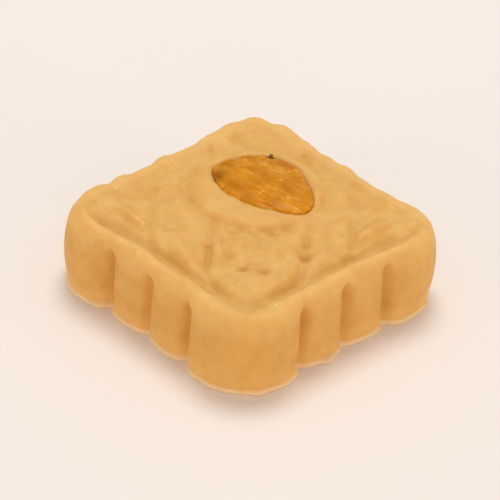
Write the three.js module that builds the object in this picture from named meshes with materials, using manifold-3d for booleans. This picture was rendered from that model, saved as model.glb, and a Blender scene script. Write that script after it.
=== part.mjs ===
// A sandesh: sweetened fresh-cheese paste pressed in a fluted square mould, with one golden raisin
// pushed into its top. Units are millimetres and +Z is up. The origin is at the centre of the
// resting face. The sides run along X and Y, and the moulded picture stands the right way up for
// someone who looks from the front corner (+X, -Y) towards the back corner (-X, +Y).

import * as THREE from "three";
import { mergeVertices } from "three/addons/utils/BufferGeometryUtils.js";
import Module from "manifold-3d";

// ---- Driving dimensions ----------------------------------------------------------------------

// The fluted outline: two shallow lobes along each side and one round lobe on each corner. The
// walls swell in the middle of their height, and each reach is measured at the wall's foot.
const edgeReach = 21.0; // centre to the crest of an edge lobe, square to the side
const edgeSwell = 0.6; // how much further out that crest stands at the belly
const notchReach = 20.55; // centre to where two lobes meet, square to the side
const notchLean = 0.4; // how far the notch leans in from the foot to the shoulder
const notchPitch = 8.6; // from the middle of a side to its outer notches
const creaseDepth = 0.75; // of the crease at the bottom of each notch
const creaseWidth = 0.8;
const cornerReach = 27.2; // centre to the tip of a corner lobe, along the diagonal
const cornerSwell = 1.0; // how much further out that tip stands at the belly
const bellyHeight = 6.5; // height of the widest level

// The lip at the foot of the wall, pressed out of the mould, with one broad tongue.
const lipReach = 0.35;
const lipHeight = 0.5;
const tongueX = 21.6;
const tongueY = -4.6;
const tongueReach = 0.6; // how much further out its middle stands
const tongueWidth = 2.6;

// The rim: a crest beside the groove, a gentle slope outwards and a rounded shoulder. The notches
// run out as they reach the shoulder.
const rimHeight = 13.0; // crest of the rim
const crestDistance = 2.2; // from the groove to the crest
const crestShare = 0.8; // its most, as a share of the distance from the groove to the shoulder
const shoulderHeight = 12.8; // outer edge of the slope
const shoulderRadius = 1.7; // how far in from the wall the shoulder starts on a lobe
const shoulderNotchRadius = 1.2; // the same over a notch
const shoulderDrop = 2.5; // how far down the wall the shoulder ends
const notchFill = 0.9; // how far the notches are filled where they have run out
const notchFillWidth = 1.3;

// The groove inside the rim. It is shallower along the two back sides and in the front corner.
const grooveReach = 17.3; // centre to the bottom of the groove, square to a side
const grooveCorner = 2.6; // radius of the groove's corners
const grooveHeight = 11.7; // height of its bottom along the front sides
const grooveBackHeight = 12.5; // the same along the back sides
const grooveBack = { start: -2.5, end: 4.0 }; // places behind the centre between which it rises
const grooveFrontRise = 0.55;
const grooveFront = { start: 17.0, end: 24.0 }; // places in front of the centre, for that rise
const grooveWidth = 1.3; // how fast the picture rises out of the groove
const grooveSideWidth = 2.3; // the same in the side corners
const grooveSide = { start: 13.0, end: 21.0 }; // places to the side, for that widening
const groovePull = 1.5; // how far it runs out to a point in the side corners
const groovePullFrom = 14.0;
const grooveTurn = 1.2; // how far in it turns at the front and back corners

// The field that the picture stands on: a very low dome.
const fieldHeight = 12.6; // at the groove
const fieldRise = 0.3; // extra height in the middle

// The round boss that holds the raisin, with a channel round it that fades at the back.
const bossRight = 0.5;
const bossBack = 7.4;
const bossRadius = 10.5;
const bossRise = 0.7;
const bossChannel = { radius: 11.1, width: 1.1, depth: 0.5, faded: 0.8 };
const bossFade = { start: 11.0, end: 17.0 };

// The petal in the front corner. Its tip shows again in the back corner, behind the boss.
const petalRight = 0.9;
const petalHalfWidth = 7.2;
const petalShoulder = 10.0; // distance from the centre where the petal starts to narrow
const petalTip = 22.5; // distance from the centre where it ends
const petalTop = 0.5; // where its side channels begin to show, in front of the boss
const petalFade = 3.0; // the distance over which they reach their full depth
const petalChannel = { width: 0.9, depth: 0.65 };
const petalBackShare = 0.5; // of that depth in the back corner
const petalBackFade = { start: 17.0, end: 19.5 };

// The medallion on the petal.
const medallionRight = 0.5;
const medallionFront = 8.0;
const medallionHalfWidth = 4.2;
const medallionHalfLength = 4.8;
const medallionRise = 0.3;
const medallionChannel = { width: 0.75, depth: 0.35 };

// Three pits behind the medallion and two pips in front of it, and pits and short strokes beside
// the petal. The strokes run from back to front.
const pits = [
  { right: -2.7, back: -4.3, radius: 0.8, depth: 0.5 },
  { right: 0.4, back: -5.0, radius: 0.8, depth: 0.5 },
  { right: 3.3, back: -4.1, radius: 0.8, depth: 0.5 },
  { right: -1.0, back: -13.1, radius: 0.8, depth: 0.5 },
  { right: 2.3, back: -13.8, radius: 0.9, depth: 0.6 },
  { right: 8.4, back: -9.6, radius: 1.2, depth: 0.5 },
  { right: -15.2, back: -7.4, radius: 0.8, depth: 0.5 },
  { right: -12.4, back: 4.0, radius: 1.5, depth: 0.5 },
];
const strokes = [
  { right: -6.0, start: -6.6, end: -11.6, width: 1.0, depth: 0.3 },
  { right: -8.8, start: -6.8, end: -9.8, width: 0.7, depth: 0.3 },
  { right: -12.3, start: -6.6, end: -9.4, width: 0.7, depth: 0.3 },
  { right: 11.3, start: -3.2, end: -6.0, width: 0.8, depth: 0.5 },
  { right: 13.6, start: -3.0, end: -7.0, width: 0.7, depth: 0.3 },
];

// The leaf in each side corner: faint ribs square to the back sides, and one ridge beside the
// groove of the front side.
const leafBase = 15.3; // distance to the side of the centre where the ribs end
const leafLow = -6.5;
const leafHigh = 8.5;
const leafFade = 1.0; // over which the ribs start and stop
const leafChannel = { width: 0.85, depth: 0.5 };
const ribPitch = 4.4;
const ribRise = 0.4;
const ridgeReach = 14.3; // centre to the ridge, square to the side
const ridgeWidth = 1.0;
const ridgeRise = 0.4;
const ridgeBack = { start: 2.5, end: 4.5 }; // where it runs out

// The plain leaf between the petal and each side leaf, along the front sides.
const scrollInner = { right: 9.6, back: -10.6 };
const scrollOuter = { right: 14.2, back: -4.6 };
const scrollRise = 0.35;
const scrollWidth = 1.3;

// The raisin, in its own frame: its length lies along its first axis. Its first tip is round and
// its second one tapers, and both are blunt.
const raisinRight = 2.0; // centre of the raisin in the picture
const raisinBack = 7.95;
const raisinTurn = -38; // degrees from the picture's right
const raisinLength = 17.6;
const raisinFar = { width: 7.9, peak: -0.12 }; // reach behind its chord, and where it is widest
const raisinNear = { width: 5.2, peak: 0.05 }; // the same in front of the chord
const raisinChord = -1.1; // place of the chord between its tips, behind the raisin's centre
const raisinRound = { power: 2.6, trim: 0.88 }; // how full and how pointed its first tip is
const raisinTaper = { power: 1.6, trim: 0.83 }; // the same for the second tip
const raisinWaist = 13.0; // height of its widest level
const raisinCrown = 1.0; // height of its top above that level
const raisinDepth = 3.6; // depth of its underside below that level
const raisinFlat = 0.4; // how its height grows from the tips: lower is blunter
const raisinFolds = 10; // wrinkles that run from tip to tip
const raisinFoldDepth = 0.14;
const raisinFoldTwist = 2; // how far the wrinkles turn round it, in radians for half its length
const raisinGap = 0.3; // clearance between the raisin and its socket

// Fineness of the meshes.
const roundingPower = 3; // how late the picture's square rings round off towards the groove
const edgeSteps = 10; // steps along each edge lobe
const cornerSteps = 13; // steps along each half of a corner lobe
const rollSteps = 5; // rings over the shoulder
const wallLevels = [0.74, 0.48, 0.22, 0.09]; // the wall's rings, as shares of its height
const raisinStations = 24;
const raisinSpokes = 28;

// ---- Small helpers ---------------------------------------------------------------------------

const lerp = THREE.MathUtils.lerp;
const smoothstep = THREE.MathUtils.smoothstep;

// A smooth step from 0 to 1 between the start and the end of a span.
function rampOver(value, span) {
  return smoothstep(value, span.start, span.end);
}

// A bell of height 1 at zero that falls off over the given width.
function bell(distance, width) {
  return Math.exp(-((distance / width) ** 2));
}

// Distance from a point to the segment between two picture points.
function distanceToSegment(point, start, end) {
  const along = new THREE.Vector2().subVectors(end, start);
  const toPoint = new THREE.Vector2().subVectors(point, start);
  const share = THREE.MathUtils.clamp(toPoint.dot(along) / along.lengthSq(), 0, 1);
  return toPoint.distanceTo(along.multiplyScalar(share));
}

// A closed body as a geometry: an array of points and an array of index triples.
function geometryFrom(points, triangles) {
  const geometry = new THREE.BufferGeometry();
  geometry.setAttribute(
    "position",
    new THREE.Float32BufferAttribute(points.flatMap((p) => [p.x, p.y, p.z]), 3),
  );
  geometry.setIndex(triangles.flat());
  return geometry;
}

// ---- Curves of one side ----------------------------------------------------------------------

// Share of a half side, counted from its middle, that the edge lobe takes.
const notchShare = edgeSteps / (edgeSteps + cornerSteps);

// A place on a half side: how far along its edge lobe, then how far along its half corner lobe.
function lobeShares(station) {
  const edge = Math.min(station / notchShare, 1);
  const corner = Math.max((station - notchShare) / (1 - notchShare), 0);
  return { edge, corner };
}

// The outline at a height, the groove and a plain square, each at a station from 0, the middle, to
// 1, the corner, of one side. A point is given as distance along the side and distance from it.
function outlineAt(station, height) {
  const { edge, corner } = lobeShares(station);
  const belly = 1 - (height / bellyHeight - 1) ** 2;
  const notch = notchReach - (notchLean * height) / shoulderHeight;
  const place = new THREE.Vector2();
  if (corner === 0) {
    // The edge lobe is the circle through two notches and the crest between them.
    const crest = edgeReach + edgeSwell * belly;
    const rise = crest - notch;
    const radius = ((notchPitch / 2) ** 2 + rise ** 2) / (2 * rise);
    const halfAngle = Math.asin(notchPitch / 2 / radius);
    const angle = lerp(-halfAngle, halfAngle, edge);
    place.x = notchPitch / 2 + radius * Math.sin(angle);
    place.y = crest - radius + radius * Math.cos(angle);
  } else {
    // The corner lobe is the circle through the outer notch that reaches the tip on the diagonal.
    const tip = cornerReach + cornerSwell * belly;
    const notchSum = Math.SQRT2 * (notchPitch + notch);
    const radius = (notchSum * tip - tip ** 2 - notchPitch ** 2 - notch ** 2) / (notchSum - 2 * tip);
    const centre = (tip - radius) / Math.SQRT2;
    const notchAngle = Math.atan2(notch - centre, notchPitch - centre);
    const angle = lerp(notchAngle, Math.PI / 4, corner);
    place.x = centre + radius * Math.cos(angle);
    place.y = centre + radius * Math.sin(angle);
  }
  place.y -= creaseDepth * bell(distanceToNotch(place.x), creaseWidth);
  return place;
}

function distanceToNotch(alongSide) {
  return Math.min(alongSide, Math.abs(alongSide - notchPitch));
}

function grooveAt(station) {
  const { edge, corner } = lobeShares(station);
  const straight = grooveReach - grooveCorner;
  const arc = (Math.PI / 4) * grooveCorner;
  const distance = lerp(edge * notchPitch, straight + arc, corner);
  if (distance <= straight) return new THREE.Vector2(distance, grooveReach);
  const angle = (distance - straight) / grooveCorner;
  return new THREE.Vector2(
    straight + grooveCorner * Math.sin(angle),
    straight + grooveCorner * Math.cos(angle),
  );
}

function squareAt(station) {
  const { edge, corner } = lobeShares(station);
  return new THREE.Vector2(lerp(edge * notchPitch, grooveReach, corner), grooveReach);
}

// Any of those curves at a signed station, turned to one of the four sides.
function onSide(curve, side, station, height = 0) {
  const place = curve(Math.abs(station), height);
  const point = new THREE.Vector2(Math.sign(station) * place.x, -place.y);
  return point.rotateAround(new THREE.Vector2(), (side * Math.PI) / 2);
}

// ---- The groove's height and corners ---------------------------------------------------------

function grooveHeightAt(back) {
  const alongSides = lerp(grooveHeight, grooveBackHeight, rampOver(back, grooveBack));
  return alongSides + grooveFrontRise * rampOver(-back, grooveFront);
}

// A point of the groove, moved out in the side corners and in at the front and back corners.
function pulledToCorners(place) {
  const right = (place.x + place.y) / Math.SQRT2;
  const back = (place.y - place.x) / Math.SQRT2;
  const diagonal = grooveReach * Math.SQRT2;
  const pull = groovePull * smoothstep(Math.abs(right), groovePullFrom, diagonal);
  const out = (Math.sign(right) * pull) / Math.SQRT2;
  const turn = (Math.sign(back) * grooveTurn * (back / diagonal) ** 2) / Math.SQRT2;
  return new THREE.Vector2(place.x + out + turn, place.y + out - turn);
}

// ---- The moulded picture ---------------------------------------------------------------------

// Height of the boss and its channel, at a distance from the boss's centre.
function bossHeight(fromBoss, back) {
  const dome = bossRise * Math.sqrt(Math.max(1 - (fromBoss / bossRadius) ** 2, 0));
  const seen = 1 - bossChannel.faded * rampOver(back, bossFade);
  return dome - bossChannel.depth * seen * bell(fromBoss - bossChannel.radius, bossChannel.width);
}

// The petal's outline is two straight channels that close on each tip along an ellipse.
function petalHeight(right, back) {
  const toTip = (Math.abs(back) - petalShoulder) / (petalTip - petalShoulder);
  const narrowing = THREE.MathUtils.clamp(toTip, 0, 1);
  const petalEdge = petalHalfWidth * Math.sqrt(1 - narrowing ** 2);
  const inFront = smoothstep(-back, petalTop, petalTop + petalFade);
  const behind = petalBackShare * rampOver(back, petalBackFade);
  const line = bell(Math.abs(right - petalRight) - petalEdge, petalChannel.width);
  return -petalChannel.depth * (inFront + behind) * line;
}

function medallionHeight(right, back) {
  const across = (right - medallionRight) / medallionHalfWidth;
  const along = (-back - medallionFront) / medallionHalfLength;
  const outward = Math.hypot(across, along);
  const dome = medallionRise * Math.sqrt(Math.max(1 - outward ** 2, 0));
  const line = bell((outward - 1) * medallionHalfWidth, medallionChannel.width);
  return dome - medallionChannel.depth * line;
}

// The ribs, the ridge and the base channel of the side leaf, at a distance out to the side.
function leafHeight(outward, back) {
  const aboveLow = smoothstep(back, leafLow - leafFade, leafLow);
  const aboveHigh = smoothstep(back, leafHigh, leafHigh + leafFade);
  const alongLeaf = aboveLow * (1 - aboveHigh);
  const ribPlace = (outward - back) / Math.SQRT2;
  const ribs = Math.cos((Math.PI * (ribPlace - grooveReach)) / ribPitch) ** 2;
  const pastBase = smoothstep(outward, leafBase, leafBase + leafFade);
  const line = bell(outward - leafBase, leafChannel.width);
  const ridge = bell(ribPlace - ridgeReach, ridgeWidth) * pastBase * (1 - rampOver(back, ridgeBack));
  const cuts = alongLeaf * (ribRise * ribs * pastBase + leafChannel.depth * line);
  return ridgeRise * ridge - cuts;
}

// Height of the picture at a point, in the picture's own frame.
function pictureHeight(right, back) {
  const point = new THREE.Vector2(right, back);
  let height = fieldHeight + fieldRise * (1 - (point.length() / cornerReach) ** 2);
  height += bossHeight(Math.hypot(right - bossRight, back - bossBack), back);
  height += petalHeight(right, back);
  height += medallionHeight(right, back);
  height += leafHeight(Math.abs(right), back);

  for (const pit of pits) {
    const away = Math.hypot(right - pit.right, back - pit.back);
    height -= pit.depth * bell(away, pit.radius);
  }
  for (const stroke of strokes) {
    const start = new THREE.Vector2(stroke.right, stroke.start);
    const end = new THREE.Vector2(stroke.right, stroke.end);
    height -= stroke.depth * bell(distanceToSegment(point, start, end), stroke.width);
  }

  const mirrored = new THREE.Vector2(Math.abs(right), back);
  const inner = new THREE.Vector2(scrollInner.right, scrollInner.back);
  const outer = new THREE.Vector2(scrollOuter.right, scrollOuter.back);
  height += scrollRise * bell(distanceToSegment(mirrored, inner, outer), scrollWidth);
  return height;
}

// ---- The paste body --------------------------------------------------------------------------

const halfSteps = edgeSteps + cornerSteps;
const sideSteps = 2 * halfSteps;

// A point of the picture: level runs from 0 at the centre to 1 at the groove.
function picturePoint(side, station, level) {
  const square = onSide(squareAt, side, station);
  const groove = pulledToCorners(onSide(grooveAt, side, station));
  const place = square.lerp(groove, level ** roundingPower).multiplyScalar(level);
  const right = (place.x + place.y) / Math.SQRT2;
  const back = (place.y - place.x) / Math.SQRT2;
  const width = lerp(grooveWidth, grooveSideWidth, rampOver(Math.abs(right), grooveSide));
  const nearGroove = bell((1 - level) * grooveReach, width);
  const height = lerp(pictureHeight(right, back), grooveHeightAt(back), nearGroove);
  return new THREE.Vector3(place.x, place.y, height);
}

// The rings outside the picture, from the groove out and down to the resting face. A bank ring lies
// between the groove and the crest. The others lie on the outline, in from it by a share of the
// shoulder or out from it by a share of the lip, with their notches filled by a share.
function outerRings() {
  const rings = [
    { bank: 0.5, height: rimHeight },
    { bank: 1, height: rimHeight },
  ];
  const rollCentre = shoulderHeight - shoulderDrop;
  for (let step = 0; step <= rollSteps; step++) {
    const angle = (step / rollSteps) * (Math.PI / 2);
    rings.push({
      shoulder: 1 - Math.sin(angle),
      lip: 0,
      height: rollCentre + shoulderDrop * Math.cos(angle),
      fill: 1 - smoothstep(step, rollSteps / 2, rollSteps),
    });
  }
  for (const share of wallLevels) {
    rings.push({ shoulder: 0, lip: 0, height: rollCentre * share, fill: 0 });
  }
  rings.push({ shoulder: 0, lip: 1, height: lipHeight, fill: 0 });
  rings.push({ shoulder: 0, lip: 1, height: 0, fill: 0 });
  return rings;
}

function outerPoint(side, station, ring) {
  const groove = pulledToCorners(onSide(grooveAt, side, station));
  const outline = onSide(outlineAt, side, station, ring.height);
  const outward = new THREE.Vector2().subVectors(outline, groove);
  const width = outward.length();
  outward.normalize();
  const overNotch = bell(distanceToNotch(outlineAt(Math.abs(station), ring.height).x), notchFillWidth);
  const shoulder = lerp(shoulderRadius, shoulderNotchRadius, overNotch);
  if (ring.bank !== undefined) {
    const toShoulder = width + notchFill * overNotch - shoulder;
    const place = outward.multiplyScalar(ring.bank * Math.min(crestDistance, crestShare * toShoulder));
    place.add(groove);
    const bottom = grooveHeightAt((groove.y - groove.x) / Math.SQRT2);
    return new THREE.Vector3(place.x, place.y, lerp(bottom, ring.height, ring.bank));
  }
  const fromTongue = Math.hypot(outline.x - tongueX, outline.y - tongueY);
  const lip = lipReach + tongueReach * bell(fromTongue, tongueWidth);
  const out = ring.fill * notchFill * overNotch + ring.lip * lip - ring.shoulder * shoulder;
  const place = outline.addScaledVector(outward, out);
  return new THREE.Vector3(place.x, place.y, ring.height);
}

function pasteGeometry() {
  const points = [];
  const triangles = [];
  const quad = (a, b, c, d) => triangles.push([a, b, c], [a, c, d]);

  // The picture is a square grid, so that its cells stay even. Its middle cell corner is level 0.
  const gridIndex = (column, row) => row * (sideSteps + 1) + column;
  for (let row = 0; row <= sideSteps; row++) {
    for (let column = 0; column <= sideSteps; column++) {
      const x = (column - halfSteps) / halfSteps;
      const y = (row - halfSteps) / halfSteps;
      const level = Math.max(Math.abs(x), Math.abs(y));
      if (level === 0) points.push(picturePoint(0, 0, 0));
      else if (-y === level) points.push(picturePoint(0, x / level, level));
      else if (x === level) points.push(picturePoint(1, y / level, level));
      else if (y === level) points.push(picturePoint(2, -x / level, level));
      else points.push(picturePoint(3, -y / level, level));
    }
  }
  // Each cell is split along its more level diagonal, which follows the channels.
  for (let row = 0; row < sideSteps; row++) {
    for (let column = 0; column < sideSteps; column++) {
      const a = gridIndex(column, row);
      const b = gridIndex(column + 1, row);
      const c = gridIndex(column + 1, row + 1);
      const d = gridIndex(column, row + 1);
      const riseAC = Math.abs(points[a].z - points[c].z);
      const riseBD = Math.abs(points[b].z - points[d].z);
      if (riseAC <= riseBD) quad(a, b, c, d);
      else quad(b, c, d, a);
    }
  }

  // The grid's border, counter-clockwise from the corner (-X, -Y), is the ring in the groove.
  let inner = [];
  for (let step = 0; step < sideSteps; step++) inner.push(gridIndex(step, 0));
  for (let step = 0; step < sideSteps; step++) inner.push(gridIndex(sideSteps, step));
  for (let step = 0; step < sideSteps; step++) inner.push(gridIndex(sideSteps - step, sideSteps));
  for (let step = 0; step < sideSteps; step++) inner.push(gridIndex(0, sideSteps - step));

  for (const ring of outerRings()) {
    const outer = inner.map((unused, step) => {
      const side = Math.floor(step / sideSteps);
      const station = ((step % sideSteps) - halfSteps) / halfSteps;
      points.push(outerPoint(side, station, ring));
      return points.length - 1;
    });
    outer.forEach((corner, step) => {
      const next = (step + 1) % outer.length;
      quad(inner[step], corner, outer[next], inner[next]);
    });
    inner = outer;
  }

  // The resting face is a fan round the origin.
  points.push(new THREE.Vector3(0, 0, 0));
  const origin = points.length - 1;
  inner.forEach((corner, step) => {
    triangles.push([origin, inner[(step + 1) % inner.length], corner]);
  });
  return geometryFrom(points, triangles);
}

// ---- The raisin ------------------------------------------------------------------------------

// Reach of one side of the raisin's outline, at a place from -1 to 1 along it.
function raisinReach(along, side) {
  const toTip = along > side.peak ? 1 - side.peak : 1 + side.peak;
  const away = Math.abs(along - side.peak) / toTip;
  const tapered = smoothstep(along, -0.3, 0.4);
  const power = lerp(raisinRound.power, raisinTaper.power, tapered);
  const trim = lerp(raisinRound.trim, raisinTaper.trim, tapered);
  return side.width * (1 - (trim * away) ** power) * Math.sqrt(1 - along ** 16);
}

// The raisin, or its socket when it is grown by a gap. It is a lens that bulges more on its far
// side than on its near side, with folds that run from tip to tip.
function raisinGeometry(grown) {
  const points = [];
  const triangles = [];
  const halfLength = raisinLength / 2 + grown;
  points.push(new THREE.Vector3(-halfLength, raisinChord, raisinWaist));
  for (let station = 1; station < raisinStations; station++) {
    const along = -Math.cos((Math.PI * station) / raisinStations);
    const inset = 1 - along ** 2;
    const far = raisinReach(along, raisinFar) + grown * Math.sqrt(inset);
    const near = raisinReach(along, raisinNear) + grown * Math.sqrt(inset);
    const middle = raisinChord + (far - near) / 2;
    const halfWidth = (far + near) / 2;
    for (let spoke = 0; spoke < raisinSpokes; spoke++) {
      const angle = (2 * Math.PI * spoke) / raisinSpokes;
      const tall = (Math.sin(angle) > 0 ? raisinCrown : raisinDepth) * inset ** raisinFlat + grown;
      const turn = raisinFolds * angle + raisinFoldTwist * along;
      const fold = raisinFoldDepth * Math.sqrt(inset) * Math.cos(turn);
      points.push(
        new THREE.Vector3(
          along * halfLength,
          middle + (halfWidth + fold) * Math.cos(angle),
          raisinWaist + (tall + fold) * Math.sin(angle),
        ),
      );
    }
  }
  points.push(new THREE.Vector3(halfLength, raisinChord, raisinWaist));
  const last = points.length - 1;

  const spokeIndex = (station, spoke) => 1 + (station - 1) * raisinSpokes + (spoke % raisinSpokes);
  for (let spoke = 0; spoke < raisinSpokes; spoke++) {
    triangles.push([0, spokeIndex(1, spoke + 1), spokeIndex(1, spoke)]);
    for (let station = 1; station < raisinStations - 1; station++) {
      const a = spokeIndex(station, spoke);
      const b = spokeIndex(station, spoke + 1);
      const c = spokeIndex(station + 1, spoke + 1);
      const d = spokeIndex(station + 1, spoke);
      triangles.push([a, b, c], [a, c, d]);
    }
    const tail = raisinStations - 1;
    triangles.push([last, spokeIndex(tail, spoke), spokeIndex(tail, spoke + 1)]);
  }

  // From the raisin's frame to the part's: the picture's right is the direction (+X, +Y).
  const geometry = geometryFrom(points, triangles);
  const place = new THREE.Vector2(raisinRight, raisinBack);
  place.rotateAround(new THREE.Vector2(), Math.PI / 4);
  geometry.rotateZ(Math.PI / 4 + THREE.MathUtils.degToRad(raisinTurn));
  geometry.translate(place.x, place.y, 0);
  return geometry;
}

// ---- The socket is cut out of the paste ------------------------------------------------------

const wasm = await Module();
wasm.setup();

function solidFrom(geometry) {
  const bare = geometry.clone();
  bare.deleteAttribute("normal");
  bare.deleteAttribute("uv");
  const merged = mergeVertices(bare);
  return new wasm.Manifold(
    new wasm.Mesh({
      numProp: 3,
      vertProperties: merged.attributes.position.array,
      triVerts: new Uint32Array(merged.index.array),
    }),
  );
}

function geometryOf(solid) {
  const mesh = solid.getMesh();
  const geometry = new THREE.BufferGeometry();
  geometry.setAttribute("position", new THREE.BufferAttribute(mesh.vertProperties, 3));
  geometry.setIndex(new THREE.BufferAttribute(mesh.triVerts, 1));
  geometry.computeVertexNormals();
  return geometry;
}

const socket = solidFrom(raisinGeometry(raisinGap));
const paste = geometryOf(solidFrom(pasteGeometry()).subtract(socket));
const fruit = raisinGeometry(0);
fruit.computeVertexNormals();

// ---- Parts -----------------------------------------------------------------------------------

const cheesePaste = new THREE.MeshStandardMaterial({ color: 0xe2ae68, roughness: 0.6, metalness: 0 });
const goldenRaisin = new THREE.MeshStandardMaterial({ color: 0xc98624, roughness: 0.35, metalness: 0 });

const sandesh = new THREE.Mesh(paste, cheesePaste);
sandesh.name = "sandesh";

const raisin = new THREE.Mesh(fruit, goldenRaisin);
raisin.name = "raisin";

const group = new THREE.Group();
group.add(sandesh, raisin);

export default group;
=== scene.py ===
import math

import bpy
import numpy as np
from mathutils import Matrix, Vector


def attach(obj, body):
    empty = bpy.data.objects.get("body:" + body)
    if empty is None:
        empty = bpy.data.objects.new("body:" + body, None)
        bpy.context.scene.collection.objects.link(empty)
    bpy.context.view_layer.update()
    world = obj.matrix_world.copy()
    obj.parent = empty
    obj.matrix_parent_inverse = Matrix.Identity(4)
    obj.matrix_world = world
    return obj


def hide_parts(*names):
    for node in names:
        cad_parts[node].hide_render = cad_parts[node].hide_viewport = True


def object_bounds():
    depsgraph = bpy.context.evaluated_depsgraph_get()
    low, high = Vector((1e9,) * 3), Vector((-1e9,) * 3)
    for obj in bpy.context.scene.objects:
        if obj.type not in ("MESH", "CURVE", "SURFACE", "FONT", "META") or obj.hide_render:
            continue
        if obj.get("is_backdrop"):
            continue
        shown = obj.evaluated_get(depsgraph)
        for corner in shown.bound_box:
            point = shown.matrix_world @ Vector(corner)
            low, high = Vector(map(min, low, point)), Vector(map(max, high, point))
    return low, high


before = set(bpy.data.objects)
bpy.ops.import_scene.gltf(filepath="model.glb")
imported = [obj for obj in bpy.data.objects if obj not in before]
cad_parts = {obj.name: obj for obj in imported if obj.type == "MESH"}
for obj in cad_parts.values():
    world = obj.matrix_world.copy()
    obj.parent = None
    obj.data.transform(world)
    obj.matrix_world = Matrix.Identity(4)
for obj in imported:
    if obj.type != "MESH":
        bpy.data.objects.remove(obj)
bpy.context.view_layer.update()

# ==== The paste body ============================================================================
# Fresh cheese kneaded with sugar to a stiff, smooth paste, pressed by hand into a fluted square
# mould that carries a low picture, and knocked out. Its foot keeps the thin ragged lip that was
# squeezed out when the back was struck off level.

# Sizes are in millimetres, and a level is a height above the table. Right and back are as seen
# from straight before the front corner.
MM = 0.001
ROOT_2 = math.sqrt(2)

# The fluted outline. Each reach is measured at the foot of the wall, and each swell is how far the
# wall bulges beyond it at the level of the belly.
EDGE_REACH = 21.0
EDGE_SWELL = 0.6
CORNER_REACH = 27.2
CORNER_SWELL = 1.0
BELLY_HEIGHT = 6.5
WALL_HEIGHT = 12.8
NOTCH_PITCH = 8.6
NOTCH_REACH = 20.55
NOTCH_LEAN = 0.4
CREASE_DEPTH = 0.75
CREASE_WIDTH = 0.8

# The rim climbs from the groove to its crest, slopes down a little to the top of the shoulder and
# rolls over it to the wall. The notches close just below it, higher on the right than on the left.
RIM_HEIGHT = 13.0
CREST_DISTANCE = 2.4
CREST_SHARE = 0.85  # the most of the way to the shoulder that the crest takes
CREST_SIDE_WIDENING = 1.6
SHOULDER_TOP = 12.96
SHOULDER_DROP = 2.5
SHOULDER_RADIUS = 1.7
SHOULDER_NOTCH_RADIUS = 1.2
NOTCH_FILL = 0.95
NOTCH_FILL_WIDTH = 1.5
NOTCH_TOP_LEFT = 11.9
NOTCH_TOP_RIGHT = 12.4
NOTCH_TOP_CHANGE = (-4.0, 4.0)
NOTCH_TOP_SPAN = 2.0

# The groove inside the rim. Its rises make it shallower, and each pair says where one sets in.
GROOVE_REACH = 17.3
GROOVE_CORNER = 2.6
GROOVE_HEIGHT = 11.7
GROOVE_BACK_HEIGHT = 12.5
GROOVE_BACK = (-2.5, 4.0)
GROOVE_FRONT_RISE = 0.55
GROOVE_FRONT = (17.0, 24.0)
GROOVE_SIDE_RISE = 0.85
GROOVE_SIDES = (18.0, 23.5)
GROOVE_TURN_BEGINS = (-4.5, -0.5)  # measured towards the back
GROOVE_TURN_ENDS = (-6.0, 0.0)  # measured towards the front
GROOVE_FILLS = [  # right, back, size, rise
    (11.2, -13.2, 2.2, 0.25),
    (18.2, -6.3, 1.6, 0.3),
    (-8.7, -15.6, 1.6, 0.15),
]
GROOVE_WIDTH = 1.3
GROOVE_SIDE_WIDTH = 2.6
GROOVE_SIDE = (13.0, 21.0)
GROOVE_RIGHT_SHARE = 0.45  # of the widening on the left
GROOVE_PULL = 1.5
GROOVE_PULL_FROM = 14.0
GROOVE_EARLY_TURN = 1.2

# Fineness: steps along an edge lobe and along half a corner lobe.
EDGE_STEPS = 34
CORNER_STEPS = 46
HALF_STEPS = EDGE_STEPS + CORNER_STEPS
SIDE_STEPS = 2 * HALF_STEPS
NOTCH_SHARE = EDGE_STEPS / HALF_STEPS

CUT_SHARPNESS = 1.3  # 2 would be as soft as a bell


def mix(a, b, share):
    return a + (b - a) * share


def bell(distance, width):
    """A soft swell or hollow, 1 high on its middle."""
    return np.exp(-((distance / width) ** 2))


def cut(distance, width):
    """A narrow cut with a sharp bottom, 1 deep on its line."""
    return np.exp(-((np.abs(distance) / width) ** CUT_SHARPNESS))


def ramp(value, low, high):
    """A smooth climb from 0 at low to 1 at high."""
    share = np.clip((value - low) / (high - low), 0.0, 1.0)
    return share * share * (3.0 - 2.0 * share)


def right_and_back(place):
    x, y = place[..., 0], place[..., 1]
    return (x + y) / ROOT_2, (y - x) / ROOT_2


def lobe_shares(station):
    """How much of the edge lobe, and then of the half corner lobe, lies before a station."""
    edge = np.minimum(station / NOTCH_SHARE, 1.0)
    corner = np.maximum((station - NOTCH_SHARE) / (1.0 - NOTCH_SHARE), 0.0)
    return edge, corner


def distance_to_notch(along):
    """Notches lie in the middle of each side and one pitch away from it."""
    return np.minimum(along, np.abs(along - NOTCH_PITCH))


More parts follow.
